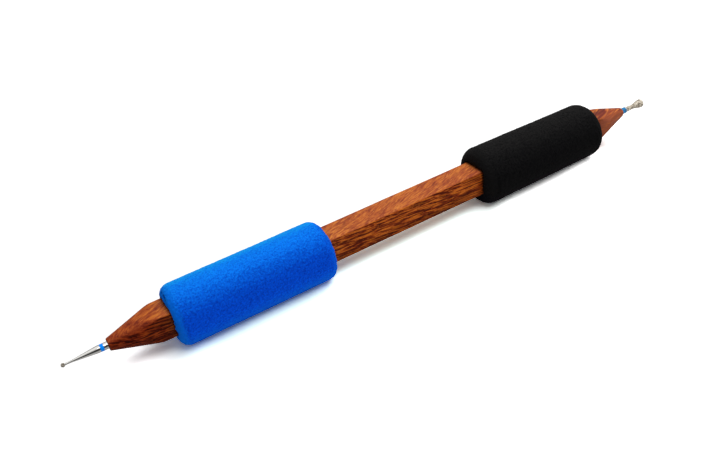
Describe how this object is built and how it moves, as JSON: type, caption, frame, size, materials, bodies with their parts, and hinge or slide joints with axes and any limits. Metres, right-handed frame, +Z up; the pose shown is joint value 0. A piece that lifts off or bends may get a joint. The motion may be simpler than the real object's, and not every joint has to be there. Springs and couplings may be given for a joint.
{
  "type": "double-ended sgraffito tool",
  "caption": "Square hardwood stick with tapered ends, a ball bur in one end, a flared bur in the other, and a sliding foam grip near each end.",
  "frame": {"origin": "under the middle of the whole tool, on the surface that its grips rest on", "axes": "+X along the handle from the ball bur to the flared bur, +Z up from the resting surface, +Y away from the pictured side"},
  "size_m": [0.2368, 0.0218, 0.0212],
  "materials": {
    "wood": "satin",
    "blue_foam": "matte",
    "black_foam": "matte",
    "steel": "polished",
    "diamond_grit": "matte",
    "light_blue_paint": "gloss",
    "dark_blue_paint": "gloss",
    "adhesive": "gloss"
  },
  "bodies": {
    "handle": {"handle": "wood", "ball_bur_shank": "steel", "ball_bur_grit": "diamond_grit", "ball_bur_band": "light_blue_paint", "ball_bur_adhesive": "adhesive", "flared_bur_shank": "steel", "flared_bur_grit": "diamond_grit", "flared_bur_band": "dark_blue_paint", "flared_bur_adhesive": "adhesive"},
    "blue_grip": {"blue_grip": "blue_foam"},
    "black_grip": {"black_grip": "black_foam"}
  },
  "joints": [
    {"name": "blue_grip_slide", "type": "slide", "parent": "handle", "child": "blue_grip", "axis": [1, 0, 0], "range_m": [-0.0025, 0.03]},
    {"name": "black_grip_slide", "type": "slide", "parent": "handle", "child": "black_grip", "axis": [1, 0, 0], "range_m": [-0.03, 0.0025]}
  ]
}
